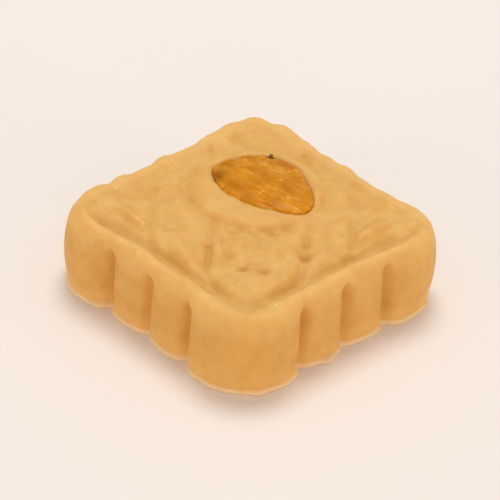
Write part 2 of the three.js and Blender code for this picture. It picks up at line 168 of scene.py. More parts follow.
def outline_at(station, height):
    """Distance along a side and out from the centre, for stations from 0, its middle, to 1."""
    edge, corner = lobe_shares(station)
    belly = 1.0 - (height / BELLY_HEIGHT - 1.0) ** 2
    notch = NOTCH_REACH - NOTCH_LEAN * height / WALL_HEIGHT

    # The edge lobe is an arc from notch to notch.
    crest = EDGE_REACH + EDGE_SWELL * belly
    rise = crest - notch
    radius = ((NOTCH_PITCH / 2) ** 2 + rise**2) / (2 * rise)
    half_angle = math.asin(NOTCH_PITCH / 2 / radius)
    angle = mix(-half_angle, half_angle, edge)
    edge_along = NOTCH_PITCH / 2 + radius * np.sin(angle)
    edge_out = crest - radius + radius * np.cos(angle)

    # The corner lobe is an arc from its notch round the tip, centred on the diagonal.
    tip = CORNER_REACH + CORNER_SWELL * belly
    notch_sum = ROOT_2 * (NOTCH_PITCH + notch)
    radius = (notch_sum * tip - tip**2 - NOTCH_PITCH**2 - notch**2) / (notch_sum - 2 * tip)
    centre = (tip - radius) / ROOT_2
    notch_angle = math.atan2(notch - centre, NOTCH_PITCH - centre)
    angle = mix(notch_angle, math.pi / 4, corner)
    on_edge = corner == 0.0
    along = np.where(on_edge, edge_along, centre + radius * np.cos(angle))
    out = np.where(on_edge, edge_out, centre + radius * np.sin(angle))
    return along, out - CREASE_DEPTH * bell(distance_to_notch(along), CREASE_WIDTH)


def groove_at(station):
    """The groove's line, a square with round corners."""
    edge, corner = lobe_shares(station)
    straight = GROOVE_REACH - GROOVE_CORNER
    arc = math.pi / 4 * GROOVE_CORNER
    distance = mix(edge * NOTCH_PITCH, straight + arc, corner)
    angle = np.maximum(distance - straight, 0.0) / GROOVE_CORNER
    along = np.minimum(distance, straight) + GROOVE_CORNER * np.sin(angle)
    out = straight + GROOVE_CORNER * np.cos(angle)
    return along, out


def square_at(station):
    """The same stations on a square with sharp corners."""
    edge, corner = lobe_shares(station)
    return mix(edge * NOTCH_PITCH, GROOVE_REACH, corner), np.full_like(station, GROOVE_REACH)


def groove_height(right, back):
    """The groove is shallower at the front corner, along the two back sides, where it turns at
    the side corners, and at its fills."""
    rise = GROOVE_FRONT_RISE * ramp(-back, *GROOVE_FRONT)
    turned = ramp(back, *GROOVE_TURN_BEGINS) * ramp(-back, *GROOVE_TURN_ENDS)
    rise = rise + GROOVE_SIDE_RISE * ramp(np.abs(right), *GROOVE_SIDES) * turned
    for fill_right, fill_back, size, fill_rise in GROOVE_FILLS:
        rise = rise + fill_rise * bell(np.hypot(right - fill_right, back - fill_back), size)
    return mix(GROOVE_HEIGHT, GROOVE_BACK_HEIGHT, ramp(back, *GROOVE_BACK)) + rise


def pull_to_corners(place):
    """The groove runs out to a point at the side corners, and turns early at the other two."""
    across, deep = right_and_back(place)
    full = GROOVE_REACH * ROOT_2
    out = np.sign(across) * GROOVE_PULL * ramp(np.abs(across), GROOVE_PULL_FROM, full)
    in_by = np.sign(deep) * GROOVE_EARLY_TURN * (deep / full) ** 2
    return place + np.stack([out + in_by, out - in_by], axis=-1) / ROOT_2


def on_side(curve, side, station, *height):
    """Points of a curve at signed stations, turned to the side with that number."""
    along, out = curve(np.abs(station), *height)
    x, y = np.sign(station) * along, -out
    turn = side * math.pi / 2
    cosine, sine = np.round(np.cos(turn)), np.round(np.sin(turn))
    return np.stack([cosine * x - sine * y, sine * x + cosine * y], axis=-1)


# The raisin's place and its outline are here because the paste closes round it. The outline has a
# far and a near edge, which bulge from the chord between its tips.
RAISIN_RIGHT = 1.9
RAISIN_BACK = 8.05
RAISIN_TURN = math.radians(-38)
RAISIN_LENGTH = 18.0
RAISIN_FAR_WIDTH = 8.2
RAISIN_FAR_PEAK = -0.2
RAISIN_NEAR_WIDTH = 5.2
RAISIN_NEAR_PEAK = 0.05
RAISIN_CHORD = -1.1
RAISIN_ROUND = (2.3, 0.87)  # power and trim of the outline towards the left tip
RAISIN_TAPER = (1.6, 0.83)  # the same towards the right tip
RAISIN_TAPERS_FROM = (-0.3, 0.4)
RAISIN_BLUNTNESS = 16
RAISIN_WAIST = 13.0
RAISIN_CROWN = 1.0
RAISIN_DEPTH = 3.6
RAISIN_FLAT = 0.4
RAISIN_EDGE_POINTS = 90


def raisin_edge(along, peak):
    """An edge, round to the left of its peak and tapering to the right, between blunt tips."""
    away = np.where(along > peak, (along - peak) / (1.0 - peak), (peak - along) / (1.0 + peak))
    tapered = ramp(along, *RAISIN_TAPERS_FROM)
    power = mix(RAISIN_ROUND[0], RAISIN_TAPER[0], tapered)
    trim = mix(RAISIN_ROUND[1], RAISIN_TAPER[1], tapered)
    blunt = np.sqrt(np.maximum(1.0 - along**RAISIN_BLUNTNESS, 0.0))
    return (1.0 - (trim * away) ** power) * blunt


def raisin_section(along):
    """Middle and half width of the raisin's outline at a place from -1 to 1 along it."""
    far = RAISIN_FAR_WIDTH * raisin_edge(along, RAISIN_FAR_PEAK)
    near = RAISIN_NEAR_WIDTH * raisin_edge(along, RAISIN_NEAR_PEAK)
    return RAISIN_CHORD + (far - near) / 2, (far + near) / 2


def in_raisin_frame(right, back):
    """Distances along and across the raisin, from its own middle."""
    x, y = right - RAISIN_RIGHT, back - RAISIN_BACK
    cosine, sine = math.cos(RAISIN_TURN), math.sin(RAISIN_TURN)
    return cosine * x + sine * y, cosine * y - sine * x


def distance_to_raisin(right, back):
    """How far a point lies outside the raisin's outline; negative inside it."""
    x, y = in_raisin_frame(right, back)
    along = np.cos(np.linspace(0.0, math.pi, RAISIN_EDGE_POINTS))
    middle, half_width = raisin_section(along)
    rim_x = np.concatenate([along, along]) * RAISIN_LENGTH / 2
    rim_y = np.concatenate([middle + half_width, middle - half_width])
    nearest = np.full(x.shape, np.inf)
    for point_x, point_y in zip(rim_x, rim_y):
        nearest = np.minimum(nearest, np.hypot(x - point_x, y - point_y))
    place = np.clip(x / (RAISIN_LENGTH / 2), -1.0, 1.0)
    middle, half_width = raisin_section(place)
    inside = (np.abs(x) < RAISIN_LENGTH / 2) & (np.abs(y - middle) < half_width)
    return np.where(inside, -nearest, nearest)


# The moulded picture: a low domed field that carries a round boss, a petal with a medallion in the
# front corner, and a ribbed leaf in each side corner.
FIELD_HEIGHT = 12.6
FIELD_RISE = 0.3
BOSS_RIGHT, BOSS_BACK = 0.5, 7.4
BOSS_RADIUS = 10.5
BOSS_RISE = 0.7
BOSS_CHANNEL = (11.1, 1.1, 0.5)  # radius, width, depth
BOSS_FADE = (11.0, 17.0)
BOSS_FADE_SHARE = 0.8
PETAL_RIGHT = 0.9
PETAL_HALF_WIDTH = 7.2
PETAL_SHOULDER = 12.5
PETAL_TIP = 22.5
PETAL_TOP = 0.5
PETAL_FADE = 3.0
PETAL_CHANNEL = (0.9, 0.65)  # width, depth
PETAL_PRINT_SHARE = 0.5  # how much of the print's unevenness its line takes
PETAL_BACK_SHARE = 0.2
PETAL_BACK_FADE = (17.0, 19.5)
MEDALLION_RIGHT = 0.5
MEDALLION_FRONT = 8.0
MEDALLION_HALF_WIDTH = 4.2
MEDALLION_HALF_LENGTH = 4.8
MEDALLION_RISE = 0.3
MEDALLION_CHANNEL = (0.75, 0.2)  # width, depth
PITS = [  # right, back, radius, depth
    (-0.8, -13.6, 0.8, 0.8),
    (2.3, -14.0, 0.9, 0.85),
    (8.35, -9.6, 0.85, 1.0),
    (-2.6, -4.1, 0.8, 0.45),
    (3.2, -4.1, 0.9, 0.5),
    (4.5, -18.0, 0.7, 0.35),
    (8.0, -15.4, 1.1, 0.6),
    (-5.7, -2.4, 0.8, 0.2),
    (-15.3, -7.9, 0.8, 0.8),
    (-12.4, 4.0, 1.5, 0.5),
    (-10.4, -3.6, 1.0, 0.35),
]
STROKES = [  # right and back of the start, right and back of the end, half width, depth
    (-0.5, -4.0, 1.2, -6.2, 0.6, 0.45),
    (-6.1, -7.8, -6.1, -12.0, 0.65, 0.65),
    (-4.5, -5.6, -4.4, -7.8, 0.6, 0.45),
    (-3.5, -8.8, -3.4, -12.6, 0.6, 0.35),
    (-0.7, -8.0, -0.7, -12.0, 0.45, 0.25),
    (2.8, -5.8, 2.7, -11.8, 0.45, 0.25),
    (-1.8, -16.2, -1.8, -18.2, 0.5, 0.3),
    (-8.8, -6.8, -8.8, -9.8, 0.6, 0.3),
    (-12.3, -6.6, -12.3, -9.4, 0.7, 0.3),
    (8.4, -1.6, 8.4, -6.0, 0.65, 0.4),
    (8.2, -6.0, 7.6, -8.4, 0.9, 0.35),
    (7.4, -11.6, 7.5, -14.6, 0.65, 0.4),
    (11.0, -3.2, 11.8, -6.2, 0.8, 0.5),
    (13.6, -3.0, 13.6, -7.0, 0.7, 0.3),
]
LEAF_BASE = 15.3
LEAF_LOW, LEAF_HIGH = -6.5, 8.5
LEAF_FADE = 1.0
LEAF_CHANNEL = (0.85, 0.6)  # width, depth
RIB_PITCH = 2.2
RIB_RISE = 0.32
LEAF_RIDGE = (14.2, 1.2, 0.45)  # distance from the centre line, width, rise
LEAF_RIDGE_BACK = (3.5, 6.5)
SCROLL_INNER = (9.6, -10.6)
SCROLL_OUTER = (14.2, -4.6)
SCROLL_RISE = 0.35
SCROLL_WIDTH = 1.3
# The paste took the mould's print more deeply in some patches than in others.
PRINT_UNEVEN = 0.8
PRINT_MOST = 1.15
PRINT_PATCH = 2.8
PRINT_SEED = 31
LATTICE = 31  # lumps after which a random pattern begins again


def distance_to_segment(x, y, start, end):
    along_x, along_y = end[0] - start[0], end[1] - start[1]
    share = ((x - start[0]) * along_x + (y - start[1]) * along_y) / (along_x**2 + along_y**2)
    share = np.clip(share, 0.0, 1.0)
    return np.hypot(x - start[0] - share * along_x, y - start[1] - share * along_y)


def lumps(place, size, seed):
    """Smooth random values from -1 to 1 at points, with bumps of about the given size."""
    lattice = np.random.default_rng(seed).uniform(-1.0, 1.0, (LATTICE, LATTICE, LATTICE))
    cell = place / size
    base = np.floor(cell).astype(int)
    share = ramp(cell - base, 0.0, 1.0)
    value = 0.0
    for dx in (0, 1):
        for dy in (0, 1):
            for dz in (0, 1):
                weight = (
                    np.abs(1 - dx - share[..., 0])
                    * np.abs(1 - dy - share[..., 1])
                    * np.abs(1 - dz - share[..., 2])
                )
                corner = (base + [dx, dy, dz]) % LATTICE
                value = value + weight * lattice[corner[..., 0], corner[..., 1], corner[..., 2]]
    return value


def picture_height(right, back):
    front = -back
    place = np.stack([right, back, np.zeros_like(right)], axis=-1)
    unevenness = PRINT_UNEVEN * lumps(place, PRINT_PATCH, PRINT_SEED)
    printed = np.minimum(1.0 + unevenness, PRINT_MOST)
    height = FIELD_HEIGHT + FIELD_RISE * (1.0 - (right**2 + back**2) / CORNER_REACH**2)

    # The boss, with a channel round it that fades towards the back.
    from_boss = np.hypot(right - BOSS_RIGHT, back - BOSS_BACK)
    height += BOSS_RISE * np.sqrt(np.maximum(1.0 - (from_boss / BOSS_RADIUS) ** 2, 0.0))
    radius, width, depth = BOSS_CHANNEL
    boss_seen = 1.0 - BOSS_FADE_SHARE * ramp(back, *BOSS_FADE)
    height -= printed * depth * boss_seen * bell(from_boss - radius, width)

    # The petal's two lines, which come out again weakly behind the boss.
    narrowing = np.clip((np.abs(back) - PETAL_SHOULDER) / (PETAL_TIP - PETAL_SHOULDER), 0.0, 1.0)
    petal_edge = PETAL_HALF_WIDTH * np.sqrt(1.0 - narrowing**2)
    below_boss = ramp(front, PETAL_TOP, PETAL_TOP + PETAL_FADE)
    above_boss = PETAL_BACK_SHARE * ramp(back, *PETAL_BACK_FADE)
    width, depth = PETAL_CHANNEL
    petal_line = cut(np.abs(right - PETAL_RIGHT) - petal_edge, width)
    petal_print = mix(1.0, printed, PETAL_PRINT_SHARE)
    height -= petal_print * depth * (below_boss + above_boss) * petal_line

    # The medallion, an oval inside the petal.
    medallion = np.hypot(
        (right - MEDALLION_RIGHT) / MEDALLION_HALF_WIDTH,
        (front - MEDALLION_FRONT) / MEDALLION_HALF_LENGTH,
    )
    width, depth = MEDALLION_CHANNEL
    height += MEDALLION_RISE * np.sqrt(np.maximum(1.0 - medallion**2, 0.0))
    height -= printed * depth * bell((medallion - 1.0) * MEDALLION_HALF_WIDTH, width)

    for pit_right, pit_back, radius, depth in PITS:
        height -= depth * bell(np.hypot(right - pit_right, back - pit_back), radius)
    for start_right, start_back, end_right, end_back, half_width, depth in STROKES:
        start, end = (start_right, start_back), (end_right, end_back)
        height -= depth * cut(distance_to_segment(right, back, start, end), half_width)

    # The leaves: slanting ribs beyond a base channel, a ridge across them, and a scroll in front.
    outward = np.abs(right)
    leaf_begins = ramp(back, LEAF_LOW - LEAF_FADE, LEAF_LOW)
    along_leaf = leaf_begins * (1.0 - ramp(back, LEAF_HIGH, LEAF_HIGH + LEAF_FADE))
    beyond_base = ramp(outward, LEAF_BASE, LEAF_BASE + LEAF_FADE)
    rib_place = (outward - back) / ROOT_2
    ribs = np.cos(math.pi * (rib_place - GROOVE_REACH) / RIB_PITCH) ** 2
    height -= printed * RIB_RISE * ribs * along_leaf * beyond_base
    width, depth = LEAF_CHANNEL
    height -= printed * depth * along_leaf * bell(outward - LEAF_BASE, width)
    from_centre, width, rise = LEAF_RIDGE
    ridge_seen = beyond_base * (1.0 - ramp(back, *LEAF_RIDGE_BACK))
    height += rise * ridge_seen * bell(rib_place - from_centre, width)
    from_scroll = distance_to_segment(outward, back, SCROLL_INNER, SCROLL_OUTER)
    height += SCROLL_RISE * bell(from_scroll, SCROLL_WIDTH)
    return height


# The paste rises round the raisin in a low soft collar and dips where it meets the skin. Its
# socket follows the raisin's underside.
COLLAR_RISE = 0.12
COLLAR_DISTANCE = 1.0
COLLAR_WIDTH = 0.7
CONTACT_DIP = 0.25
CONTACT_WIDTH = 0.5


def with_socket(height, right, back):
    away = distance_to_raisin(right, back)
    height = height + COLLAR_RISE * bell(away - COLLAR_DISTANCE, COLLAR_WIDTH)
    height = height - CONTACT_DIP * bell(np.maximum(away, 0.0), CONTACT_WIDTH)
    x, y = in_raisin_frame(right, back)
    place = np.clip(x / (RAISIN_LENGTH / 2), -1.0, 1.0)
    middle, half_width = raisin_section(place)
    across = np.clip((y - middle) / np.maximum(half_width, 1e-6), -1.0, 1.0)
    hollow = RAISIN_DEPTH * (1.0 - place**2) ** RAISIN_FLAT * np.sqrt(1.0 - across**2)
    return np.where(away < 0.0, np.minimum(height, RAISIN_WAIST - hollow), height)


# The picture is a square grid whose rings round off towards the groove.
ROUNDING_POWER = 3
steps = np.arange(SIDE_STEPS + 1)
column, row = np.meshgrid(steps, steps)
grid_x = (column - HALF_STEPS) / HALF_STEPS
grid_y = (row - HALF_STEPS) / HALF_STEPS
level = np.maximum(np.abs(grid_x), np.abs(grid_y))
safe_level = np.maximum(level, 1e-9)
picture_xy = np.zeros(grid_x.shape + (2,))
taken = np.zeros(grid_x.shape, bool)
quarters = [(-grid_y, grid_x), (grid_x, grid_y), (grid_y, -grid_x), (-grid_x, -grid_y)]
for side, (facing, run) in enumerate(quarters):
    mine = (facing == level) & ~taken
    taken |= mine
    station = run[mine] / safe_level[mine]
    square = on_side(square_at, side, station)
    groove = pull_to_corners(on_side(groove_at, side, station))
    share = level[mine][:, None]
    picture_xy[mine] = mix(square, groove, share**ROUNDING_POWER) * share
right, back = right_and_back(picture_xy)
from_groove = (1.0 - level) * GROOVE_REACH
widened = ramp(-right, *GROOVE_SIDE) + GROOVE_RIGHT_SHARE * ramp(right, *GROOVE_SIDE)
in_groove = bell(from_groove, mix(GROOVE_WIDTH, GROOVE_SIDE_WIDTH, widened))
picture_z = mix(picture_height(right, back), groove_height(right, back), in_groove)
picture_z = with_socket(picture_z, right, back)
picture_points = np.concatenate([picture_xy, picture_z[..., None]], axis=-1).reshape(-1, 3)

# The rings outside it go over the rim, down the wall and under the foot, where the lip stands out
# by an uneven amount, with one broad tongue in the first lobe right of the front corner.
RISE_RINGS = 9
SLOPE_RINGS = 8
SHOULDER_DEGREES = 6.0
WALL_STEP = 0.25
LIP_STEP = 0.2
LIP_LEVELS = (1.0, 0.25)
LIP_UNDERSIDE = [(0.97, 0.1), (0.85, 0.0)]  # share of the reach, level
LIP_REACH = 0.3
LIP_RAGGED = 0.55
LIP_RAG_SIZE = 1.9
LIP_RAG_LEVEL = 4.0  # the level of the random lumps that the edge of the lip follows
LIP_SEED = 21
TONGUE_PLACE = (21.6, -4.6)
TONGUE_REACH = 0.9
TONGUE_WIDTH = 2.6
FOOT_RINGS = (0.93, 0.8, 0.6, 0.4, 0.2)  # shares of the outermost ring of the resting face
roll_centre = WALL_HEIGHT - SHOULDER_DROP
rings = []  # kind, how far along or how far in or out it lies, level
for share in np.arange(1, RISE_RINGS + 1) / RISE_RINGS:
    rings.append(("rise", share, RIM_HEIGHT))
for share in np.arange(1, SLOPE_RINGS) / SLOPE_RINGS:
    rings.append(("slope", share, mix(RIM_HEIGHT, SHOULDER_TOP, share)))
for degrees in np.arange(0.0, 91.0, SHOULDER_DEGREES):
    angle = math.radians(degrees)
    height = roll_centre + (SHOULDER_TOP - roll_centre) * math.cos(angle)
    rings.append(("wall", 1.0 - math.sin(angle), height))
for height in np.arange(roll_centre - WALL_STEP, LIP_LEVELS[0], -WALL_STEP):
    rings.append(("wall", 0.0, height))
for share in np.arange(0.0, 1.01, LIP_STEP):
    rings.append(("lip", ramp(share, 0.0, 1.0), mix(*LIP_LEVELS, share)))
rings += [("lip", share, height) for share, height in LIP_UNDERSIDE]

ring_steps = 4 * SIDE_STEPS
step = np.arange(ring_steps)
ring_side = step // SIDE_STEPS
ring_station = (step % SIDE_STEPS - HALF_STEPS) / HALF_STEPS


def round_ring(curve, *height):
    """The curve of one side, carried round all four."""
    place = np.zeros((ring_steps, 2))
    for side in range(4):
        mine = ring_side == side
        place[mine] = on_side(curve, side, ring_station[mine], *height)
    return place


groove_ring = pull_to_corners(round_ring(groove_at))
ring_right, ring_back = right_and_back(groove_ring)
notch_top = mix(NOTCH_TOP_LEFT, NOTCH_TOP_RIGHT, ramp(ring_right, *NOTCH_TOP_CHANGE))
widening = CREST_SIDE_WIDENING * ramp(np.abs(ring_right), *GROOVE_SIDES)[:, None]
ring_points = []
for kind, amount, height in rings:
    outline = round_ring(outline_at, height)
    outward = outline - groove_ring
    reach = np.linalg.norm(outward, axis=1, keepdims=True)
    outward = outward / reach
    to_notch = distance_to_notch(outline_at(np.abs(ring_station), height)[0])
    over_notch = bell(to_notch, NOTCH_FILL_WIDTH)
    fill = NOTCH_FILL * over_notch + CREASE_DEPTH * bell(to_notch, CREASE_WIDTH)
    filled = (fill * ramp(height, notch_top - NOTCH_TOP_SPAN, notch_top))[:, None]
    shoulder = mix(SHOULDER_RADIUS, SHOULDER_NOTCH_RADIUS, over_notch)[:, None]
    crest = np.minimum(CREST_DISTANCE + widening, CREST_SHARE * (reach + filled - shoulder))
    ring_height = np.full(ring_steps, height)
    if kind == "rise":
        swing = 0.5 - 0.5 * math.cos(math.pi * amount)
        ring_height = mix(groove_height(ring_right, ring_back), RIM_HEIGHT, swing)
        place = groove_ring + outward * crest * amount
    elif kind == "slope":
        place = groove_ring + outward * mix(crest, reach + filled - shoulder, amount)
    elif kind == "wall":
        place = outline + outward * (filled - shoulder * amount)
    else:
        rag_place = np.column_stack([outline, np.full(ring_steps, LIP_RAG_LEVEL)])
        rag = 0.5 + 0.5 * lumps(rag_place, LIP_RAG_SIZE, LIP_SEED)
        from_tongue = np.linalg.norm(outline - TONGUE_PLACE, axis=1)
        tongue = TONGUE_REACH * bell(from_tongue, TONGUE_WIDTH)
        stand_out = LIP_REACH + LIP_RAGGED * rag**2 + tongue * rag
        place = outline + outward * (stand_out * amount)[:, None]
    ring_points.append(np.column_stack([place, ring_height]))

# The resting face closes in rings towards the middle.
foot = ring_points[-1]
ring_points += [foot * [share, share, 1.0] for share in FOOT_RINGS]
points = np.concatenate([picture_points, *ring_points, np.zeros((1, 3))])

# The faces: the picture's squares, the bands between the rings, and a fan under the middle.
row_length = SIDE_STEPS + 1
corner = row[:-1, :-1] * row_length + column[:-1, :-1]
squares = np.stack([corner, corner + 1, corner + row_length + 1, corner + row_length], axis=-1)
faces = [squares.reshape(-1, 4)]
inner_ring = np.concatenate([
    steps[:-1],
    steps[:-1] * row_length + SIDE_STEPS,
    row_length**2 - 1 - steps[:-1],
    (SIDE_STEPS - steps[:-1]) * row_length,
])
for number in range(len(ring_points)):
    outer_ring = len(picture_points) + number * ring_steps + step
    after_outer, after_inner = np.roll(outer_ring, -1), np.roll(inner_ring, -1)
    faces.append(np.stack([inner_ring, outer_ring, after_outer, after_inner], axis=-1))
    inner_ring = outer_ring
middle_point = len(points) - 1
fan = [(int(a), int(b), middle_point) for a, b in zip(np.roll(inner_ring, -1), inner_ring)]
faces = np.concatenate(faces).tolist() + fan

# Hand pressing leaves nothing quite straight: a slow sway of the outline, soft lumps on the
# picture, and a fine grain.
SWAY = 0.22
SWAY_SIZE = 9.0
SWAY_STRETCH = [1.0, 1.0, 0.6]
SWAY_AT_FOOT = 0.5
SWAY_LEVELS = (0.0, 3.0)
SWAY_SEEDS = (11, 12)
LUMP_RISE = 0.28
LUMP_SIZE = 2.1
LUMP_SEED = 13
GRAIN_RISE = 0.06
GRAIN_SIZE = 1.1
GRAIN_SEED = 14
UPPER_LEVELS = (9.0, 11.5)
# Two creases run over the back of the rim, one of them bent, and one dent lies on its right.
RIM_CREASES = [  # right and back of the start, right and back of the end, half width, depth
    (-6.9, 20.6, -6.9, 13.8, 0.7, 0.3),
    (5.8, 22.2, 7.2, 18.0, 0.8, 0.35),
    (7.2, 18.0, 9.3, 12.6, 0.8, 0.35),
    (22.4, -8.2, 22.5, -9.4, 0.8, 0.45),
]
RIM_CREASE_LEVELS = (10.0, 12.0)
# The back corner ends in a small tip.
BACK_TIP_RIGHT = -0.6
BACK_TIP_HALF_WIDTH = 2.4
BACK_TIP_REACH = 0.8
BACK_TIP_BACK = (22.0, 27.0)
BACK_TIP_LEVELS = (4.0, 11.0)
right, back = right_and_back(points)
for start_right, start_back, end_right, end_back, half_width, depth in RIM_CREASES:
    away = distance_to_segment(right, back, (start_right, start_back), (end_right, end_back))
    points[:, 2] -= depth * cut(away, half_width) * ramp(points[:, 2], *RIM_CREASE_LEVELS)
tip = BACK_TIP_REACH * bell(right - BACK_TIP_RIGHT, BACK_TIP_HALF_WIDTH)
stand_out = tip * ramp(back, *BACK_TIP_BACK) * ramp(points[:, 2], *BACK_TIP_LEVELS)
points[:, 0] -= stand_out / ROOT_2
points[:, 1] += stand_out / ROOT_2
swaying = mix(SWAY_AT_FOOT, 1.0, ramp(points[:, 2], *SWAY_LEVELS))
for axis, seed in enumerate(SWAY_SEEDS):
    points[:, axis] += SWAY * lumps(points * SWAY_STRETCH, SWAY_SIZE, seed) * swaying
upper = ramp(points[:, 2], *UPPER_LEVELS)
points[:, 2] += upper * LUMP_RISE * lumps(points, LUMP_SIZE, LUMP_SEED)
points[:, 2] += upper * GRAIN_RISE * lumps(points, GRAIN_SIZE, GRAIN_SEED)


def new_piece(name, places, piece_faces):
    """A smooth-shaded object, linked to the scene, from points in millimetres."""
    mesh = bpy.data.meshes.new(name)
    mesh.from_pydata((places * MM).tolist(), [], piece_faces)
    mesh.polygons.foreach_set("use_smooth", [True] * len(mesh.polygons))
    mesh.update()
    piece = bpy.data.objects.new(name, mesh)
    bpy.context.scene.collection.objects.link(piece)
    return piece


paste_body = new_piece("sandesh_paste", points, faces)


def linear(hex_value):
    """An sRGB hex colour as linear red, green, blue and alpha."""
    channels = [int(hex_value[i : i + 2], 16) / 255 for i in (0, 2, 4)]
    return [c / 12.92 if c <= 0.04045 else ((c + 0.055) / 1.055) ** 2.4 for c in channels] + [1.0]


def add_node(tree, kind, settings=None, links=None):
    """Adds a node, sets its properties and inputs, and links its inputs, by name or number."""
    node = tree.nodes.new(kind)
    for name, value in (settings or {}).items():
        if name in node.inputs and not hasattr(type(node), name):
            node.inputs[name].default_value = value
        else:
            setattr(node, name, value)
    for name, socket in (links or {}).items():
        tree.links.new(socket, node.inputs[name])
    return node


# Pressed sandesh paste: matt and slightly see-through, a caramel tan from date palm sugar. The eye
# sees soft blotches where the paste was kneaded, grey-green smudges from the mould, pale grains of
# curd, a fine grain all over and a drier, paler lip at the foot, whose paleness is partly a
# painted highlight on its thin edge. Painted light lifts the foot, the rim and the shoulder, and
# painted shade darkens the groove and the cuts of the picture.
PASTE_TAN = "DEAA55"
PASTE_PALE = "E2B060"
PASTE_BROWN = "D9A34F"
SMUDGE = "C2964E"
CURD_GRAIN = "F7D79C"
# The next three colours: painted light for the foot, the rim and the shoulder; the lip's own
# paleness with a painted highlight; and painted shade in the groove and the cuts.
PAINTED_LIGHT_TAN = "F3C678"
DRY_LIP_AND_HIGHLIGHT = "FADCB0"
RECESS_PAINTED_SHADE = "D2953C"
GLOW_DEPTH = 1.2
BLOTCH_SIZE = 3.4
BLOTCH_STOPS = (0.34, 0.66)
SMUDGE_SIZE = 1.9
SMUDGE_STRENGTH = 0.26
CURD_SPACING = 1.7
CURD_STRENGTH = 0.45
# The real grain is too fine to show, under 0.2 mm, so it is drawn at about twice its size.
FINE_GRAIN_SIZE = 0.42
FINE_GRAIN_DEPTH = 0.16
FINE_GRAIN_STRENGTH = 0.65
PASTE_ROUGHNESS = (0.62, 0.48)  # in the hollows of the grain and on its tops
paste = bpy.data.materials.new("pressed_cheese_paste")
paste.use_nodes = True
tree = paste.node_tree
shader = tree.nodes["Principled BSDF"]
shader.inputs["Roughness"].default_value = sum(PASTE_ROUGHNESS) / 2
shader.inputs["IOR"].default_value = 1.45
shader.inputs["Subsurface Weight"].default_value = 0.3
shader.inputs["Subsurface Radius"].default_value = (1.0, 0.5, 0.25)
shader.inputs["Subsurface Scale"].default_value = GLOW_DEPTH * MM
where = add_node(tree, "ShaderNodeTexCoord").outputs["Object"]
blotch = add_node(
    tree,
    "ShaderNodeTexNoise",
    {"Scale": 1 / (BLOTCH_SIZE * MM), "Detail": 3.0, "Roughness": 0.6},
    {"Vector": where},
)
blotch_colour = add_node(tree, "ShaderNodeValToRGB", {}, {"Fac": blotch.outputs["Fac"]})
stops = blotch_colour.color_ramp.elements
stops[0].position, stops[0].color = BLOTCH_STOPS[0], linear(PASTE_BROWN)
stops[1].position, stops[1].color = BLOTCH_STOPS[1], linear(PASTE_PALE)
stops.new(0.5).color = linear(PASTE_TAN)
smudge = add_node(
    tree,
    "ShaderNodeTexNoise",
    {"Scale": 1 / (SMUDGE_SIZE * MM), "Detail": 2.0, "Roughness": 0.5},
    {"Vector": where},
)
smudge_share = add_node(
    tree,
    "ShaderNodeMapRange",
    {"From Min": 0.55, "From Max": 0.75, "To Min": 0.0, "To Max": SMUDGE_STRENGTH},
    {"Value": smudge.outputs["Fac"]},
)
smudged = add_node(
    tree,
    "ShaderNodeMixRGB",
    {"Color2": linear(SMUDGE)},
    {"Fac": smudge_share.outputs["Result"], "Color1": blotch_colour.outputs["Color"]},
)
# A grain of curd is a pale spot in the middle of a cell, and only a few of the cells have one.
curd = add_node(
    tree, "ShaderNodeTexVoronoi", {"Scale": 1 / (CURD_SPACING * MM)}, {"Vector": where}
)
curd_spot = add_node(
    tree,
    "ShaderNodeMapRange",
    {"From Min": 0.08, "From Max": 0.2, "To Min": CURD_STRENGTH, "To Max": 0.0},
    {"Value": curd.outputs["Distance"]},
)
curd_pick = add_node(tree, "ShaderNodeSeparateColor", {}, {"Color": curd.outputs["Color"]})
curd_kept = add_node(
    tree,
    "ShaderNodeMapRange",
    {"From Min": 0.85, "From Max": 0.97},
    {"Value": curd_pick.outputs["Red"]},
)
curd_share = add_node(
    tree,
    "ShaderNodeMath",
    {"operation": "MULTIPLY"},
    {0: curd_spot.outputs["Result"], 1: curd_kept.outputs["Result"]},
)
colour = add_node(
    tree,
    "ShaderNodeMixRGB",
    {"Color2": linear(CURD_GRAIN)},
    {"Fac": curd_share.outputs["Value"], "Color1": smudged.outputs["Color"]},
)
# The paste is painted paler towards the foot. This is painted light that lifts the shade by the
# floor. It is palest on the thin lip, which is drier and carries a painted highlight on its edge.
FOOT_PAINTED_LIGHT_SHARE = 0.55
FOOT_PAINTED_LIGHT_LEVELS = (0.8, 4.2)
LIP_PALENESS_AND_HIGHLIGHT = 0.8
LIP_PALENESS_LEVELS = (0.4, 1.0)
point = add_node(tree, "ShaderNodeSeparateXYZ", {}, {"Vector": where})
for lightening, (low, high), lighter_colour in (
    (FOOT_PAINTED_LIGHT_SHARE, FOOT_PAINTED_LIGHT_LEVELS, PAINTED_LIGHT_TAN),
    (LIP_PALENESS_AND_HIGHLIGHT, LIP_PALENESS_LEVELS, DRY_LIP_AND_HIGHLIGHT),
):
    lightened_share = add_node(
        tree,
        "ShaderNodeMapRange",
        {
            "interpolation_type": "SMOOTHSTEP",
            "From Min": low * MM,
            "From Max": high * MM,
            "To Min": lightening,
            "To Max": 0.0,
        },
        {"Value": point.outputs["Z"]},
    )
    colour = add_node(
        tree,
        "ShaderNodeMixRGB",
        {"Color2": linear(lighter_colour)},
        {"Fac": lightened_share.outputs["Result"], "Color1": colour.outputs["Color"]},
    )
